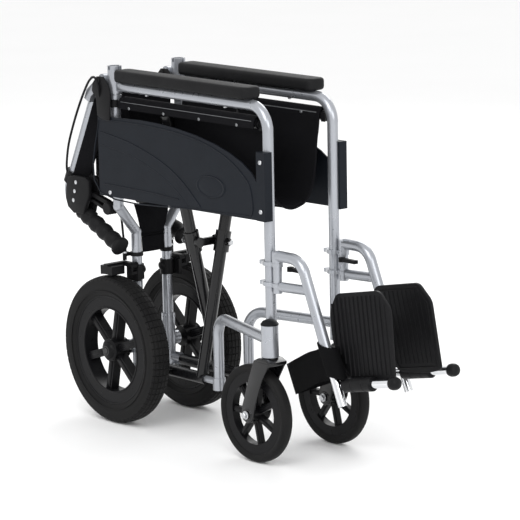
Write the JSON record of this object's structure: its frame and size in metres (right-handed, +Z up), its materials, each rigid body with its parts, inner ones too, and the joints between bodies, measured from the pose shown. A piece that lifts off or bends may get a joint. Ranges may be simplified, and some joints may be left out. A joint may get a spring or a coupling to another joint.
{
  "type": "folding transit wheelchair",
  "caption": "Folding attendant wheelchair shown folded: cross brace, drop back with push handles, swing-away footrests, braked rear wheels and swivelling casters.",
  "frame": {"origin": "ground under the middle of the folded chair", "axes": "+Z up, the chair faces -Y, its left side is +X"},
  "size_m": [0.268, 1.0342, 0.759],
  "materials": {
    "frame": "silver-grey powder coat",
    "pad": "matte foam skin",
    "panel": "fine grained slate",
    "plastic": "satin",
    "cable": "satin cable sheath",
    "wheel": "semi-gloss moulded",
    "tyre": "matte",
    "chrome": "polished",
    "brace": "gloss black",
    "webbing": "woven",
    "cloth": "woven nylon"
  },
  "bodies": {
    "frame_right": {"rear_post_right": "frame", "front_frame_right": "frame", "arm_pad_right": "pad", "side_panel_right": "panel", "brake_bracket_right": "plastic", "brake_cable_lower_right": "cable", "rear_axle_right": "chrome"},
    "frame_left": {"rear_post_left": "frame", "front_frame_left": "frame", "arm_pad_left": "pad", "side_panel_left": "panel", "brake_bracket_left": "plastic", "brake_cable_lower_left": "cable", "rear_axle_left": "chrome"},
    "arm_right": {"cross_arm_right": "brace", "seat_rail_left": "frame"},
    "arm_left": {"cross_arm_left": "brace", "seat_rail_right": "frame"},
    "link": {"cross_link": "brace"},
    "guides_right": {"rail_guides_right": "plastic"},
    "seat_right": {"seat_cloth_right": "cloth"},
    "guides_left": {"rail_guides_left": "plastic"},
    "seat_left": {"seat_cloth_left": "cloth"},
    "back_right": {"back_lower_right": "cloth"},
    "cane_body_right": {"cane_right": "frame", "grip_right": "plastic", "brake_mount_right": "plastic", "brake_cable_upper_right": "cable"},
    "back_top_right": {"back_upper_right": "cloth"},
    "hand_lever_right": {"brake_lever_right": "plastic"},
    "shoe_right": {"brake_shoe_right": "plastic"},
    "wheel_right": {"rear_wheel_right": "wheel", "rear_tyre_right": "tyre"},
    "fork_right": {"caster_fork_right": "brace"},
    "caster_right": {"caster_wheel_right": "wheel", "caster_tyre_right": "tyre"},
    "footrest_right": {"hanger_right": "frame", "calf_strap_right": "webbing"},
    "latch_right": {"hanger_latch_right": "plastic"},
    "leg_right": {"leg_tube_right": "chrome"},
    "plate_right": {"footplate_right": "plastic"},
    "back_left": {"back_lower_left": "cloth"},
    "cane_body_left": {"cane_left": "frame", "grip_left": "plastic", "brake_mount_left": "plastic", "brake_cable_upper_left": "cable"},
    "back_top_left": {"back_upper_left": "cloth"},
    "hand_lever_left": {"brake_lever_left": "plastic"},
    "shoe_left": {"brake_shoe_left": "plastic"},
    "wheel_left": {"rear_wheel_left": "wheel", "rear_tyre_left": "tyre"},
    "fork_left": {"caster_fork_left": "brace"},
    "caster_left": {"caster_wheel_left": "wheel", "caster_tyre_left": "tyre"},
    "footrest_left": {"hanger_left": "frame", "calf_strap_left": "webbing"},
    "latch_left": {"hanger_latch_left": "plastic"},
    "leg_left": {"leg_tube_left": "chrome"},
    "plate_left": {"footplate_left": "plastic"}
  },
  "joints": [
    {"name": "fold", "type": "hinge", "parent": "frame_right", "child": "arm_right", "pos_m": [-0.0405, 0.1126, 0.12], "axis": [0, 1, 0], "range_deg": [0, 32.12]},
    {"name": "link_pivot", "type": "hinge", "parent": "arm_right", "child": "link", "pos_m": [0.0225, 0.1126, 0.4005], "axis": [0, 1, 0], "range_deg": [-32.62, 0.5]},
    {"name": "arm_left_pivot", "type": "hinge", "parent": "link", "child": "arm_left", "pos_m": [-0.0225, 0.1546, 0.4005], "axis": [0, 1, 0], "range_deg": [-32.62, 0.5]},
    {"name": "frame_left_pivot", "type": "hinge", "parent": "arm_left", "child": "frame_left", "pos_m": [0.0405, 0.1546, 0.12], "axis": [0, 1, 0], "range_deg": [-0.5, 32.62]},
    {"name": "guides_right_pivot", "type": "hinge", "parent": "arm_left", "child": "guides_right", "pos_m": [-0.0855, 0.3026, 0.681], "axis": [0, 1, 0], "range_deg": [-0.5, 32.62]},
    {"name": "seat_right_hang", "type": "hinge", "parent": "arm_left", "child": "seat_right", "pos_m": [-0.0855, 0.0846, 0.681], "axis": [0, 1, 0], "range_deg": [-32.62, 0.5]},
    {"name": "guides_left_pivot", "type": "hinge", "parent": "arm_right", "child": "guides_left", "pos_m": [0.0855, 0.3026, 0.681], "axis": [0, 1, 0], "range_deg": [-32.62, 0.5]},
    {"name": "seat_left_hang", "type": "hinge", "parent": "arm_right", "child": "seat_left", "pos_m": [0.0855, 0.0846, 0.681], "axis": [0, 1, 0], "range_deg": [-0.5, 32.62]},
    {"name": "back_right_swing", "type": "hinge", "parent": "frame_right", "child": "back_right", "pos_m": [-0.0855, 0.3206, 0.62], "axis": [0, 0, 1], "range_deg": [-57.68, 0.5]},
    {"name": "back_fold_right", "type": "hinge", "parent": "frame_right", "child": "cane_body_right", "pos_m": [-0.0855, 0.3446, 0.728], "axis": [1, 0, 0], "range_deg": [0, 154]},
    {"name": "back_top_right_spread", "type": "slide", "parent": "cane_body_right", "child": "back_top_right", "axis": [1, 0, 0], "range_m": [-0.003, 0.143]},
    {"name": "hand_brake_right", "type": "hinge", "parent": "cane_body_right", "child": "hand_lever_right", "pos_m": [-0.0855, 0.45349, 0.47519], "axis": [1, 0, 0], "range_deg": [0, 9], "stiffness_Nm_per_rad": 0.6},
    {"name": "brake_shoe_right_pivot", "type": "hinge", "parent": "frame_right", "child": "shoe_right", "pos_m": [-0.0625, 0.3026, 0.334], "axis": [1, 0, 0], "range_deg": [-1.05, 0.05]},
    {"name": "rear_wheel_right_spin", "type": "hinge", "parent": "frame_right", "child": "wheel_right", "pos_m": [-0.098, 0.3246, 0.1575], "axis": [1, 0, 0], "continuous": true},
    {"name": "caster_right_swivel", "type": "hinge", "parent": "frame_right", "child": "fork_right", "pos_m": [-0.104, -0.1794, 0.25], "axis": [0, 0, 1], "continuous": true},
    {"name": "caster_right_spin", "type": "hinge", "parent": "fork_right", "child": "caster_right", "pos_m": [-0.104, -0.1334, 0.1], "axis": [1, 0, 0], "continuous": true},
    {"name": "footrest_right_swing", "type": "hinge", "parent": "frame_right", "child": "footrest_right", "pos_m": [-0.0885, -0.1884, 0.38], "axis": [0, 0, 1], "range_deg": [-100, 0]},
    {"name": "latch_right_turn", "type": "hinge", "parent": "footrest_right", "child": "latch_right", "pos_m": [-0.0685, -0.2044, 0.398], "axis": [0, 0, 1], "range_deg": [0, 20], "stiffness_Nm_per_rad": 0.05},
    {"name": "leg_right_slide", "type": "slide", "parent": "footrest_right", "child": "leg_right", "axis": [0, -0.3955, -0.9184], "range_m": [0, 0.04]},
    {"name": "footplate_right_flip", "type": "hinge", "parent": "leg_right", "child": "plate_right", "pos_m": [-0.078, -0.35788, 0.19001], "axis": [0, -0.9816, 0.1908], "range_deg": [-90.5, 0.5]},
    {"name": "back_left_swing", "type": "hinge", "parent": "frame_left", "child": "back_left", "pos_m": [0.0855, 0.3206, 0.62], "axis": [0, 0, 1], "range_deg": [-0.5, 57.68]},
    {"name": "back_fold_left", "type": "hinge", "parent": "frame_left", "child": "cane_body_left", "pos_m": [0.0855, 0.3446, 0.728], "axis": [1, 0, 0], "range_deg": [-0.5, 154.5]},
    {"name": "back_top_left_spread", "type": "slide", "parent": "cane_body_left", "child": "back_top_left", "axis": [1, 0, 0], "range_m": [-0.143, 0.003]},
    {"name": "hand_brake_left", "type": "hinge", "parent": "cane_body_left", "child": "hand_lever_left", "pos_m": [0.0855, 0.45349, 0.47519], "axis": [1, 0, 0], "range_deg": [0, 9], "stiffness_Nm_per_rad": 0.6},
    {"name": "brake_shoe_left_pivot", "type": "hinge", "parent": "frame_left", "child": "shoe_left", "pos_m": [0.0625, 0.3026, 0.334], "axis": [1, 0, 0], "range_deg": [-1.05, 0.05]},
    {"name": "rear_wheel_left_spin", "type": "hinge", "parent": "frame_left", "child": "wheel_left", "pos_m": [0.098, 0.3246, 0.1575], "axis": [1, 0, 0], "continuous": true},
    {"name": "caster_left_swivel", "type": "hinge", "parent": "frame_left", "child": "fork_left", "pos_m": [0.104, -0.1794, 0.25], "axis": [0, 0, 1], "continuous": true},
    {"name": "caster_left_spin", "type": "hinge", "parent": "fork_left", "child": "caster_left", "pos_m": [0.104, -0.1334, 0.1], "axis": [1, 0, 0], "continuous": true},
    {"name": "footrest_left_swing", "type": "hinge", "parent": "frame_left", "child": "footrest_left", "pos_m": [0.0885, -0.1884, 0.38], "axis": [0, 0, 1], "range_deg": [0, 100]},
    {"name": "latch_left_turn", "type": "hinge", "parent": "footrest_left", "child": "latch_left", "pos_m": [0.0685, -0.2044, 0.398], "axis": [0, 0, 1], "range_deg": [-20, 0], "stiffness_Nm_per_rad": 0.05},
    {"name": "leg_left_slide", "type": "slide", "parent": "footrest_left", "child": "leg_left", "axis": [0, -0.3955, -0.9184], "range_m": [0, 0.04]},
    {"name": "footplate_left_flip", "type": "hinge", "parent": "leg_left", "child": "plate_left", "pos_m": [0.078, -0.35788, 0.19001], "axis": [0, -0.9816, 0.1908], "range_deg": [-0.5, 90.5]}
  ],
  "couplings": [
    {"joint": "link_pivot", "follows": "fold", "ratio": -1},
    {"joint": "arm_left_pivot", "follows": "fold", "ratio": -1},
    {"joint": "frame_left_pivot", "follows": "fold", "ratio": 1},
    {"joint": "guides_right_pivot", "follows": "fold", "ratio": 1},
    {"joint": "seat_right_hang", "follows": "fold", "ratio": -1},
    {"joint": "guides_left_pivot", "follows": "fold", "ratio": -1},
    {"joint": "seat_left_hang", "follows": "fold", "ratio": 1},
    {"joint": "back_right_swing", "follows": "fold", "ratio": -1.78},
    {"joint": "back_top_right_spread", "follows": "fold", "m_per_rad": 0.24972},
    {"joint": "brake_shoe_right_pivot", "follows": "hand_brake_right", "ratio": -0.1111},
    {"joint": "footplate_right_flip", "follows": "fold", "ratio": -2.8019},
    {"joint": "back_left_swing", "follows": "fold", "ratio": 1.78},
    {"joint": "back_top_left_spread", "follows": "fold", "m_per_rad": -0.24972},
    {"joint": "brake_shoe_left_pivot", "follows": "hand_brake_left", "ratio": -0.1111},
    {"joint": "footplate_left_flip", "follows": "fold", "ratio": 2.8019},
    {"joint": "back_fold_left", "follows": "back_fold_right", "ratio": 1}
  ]
}
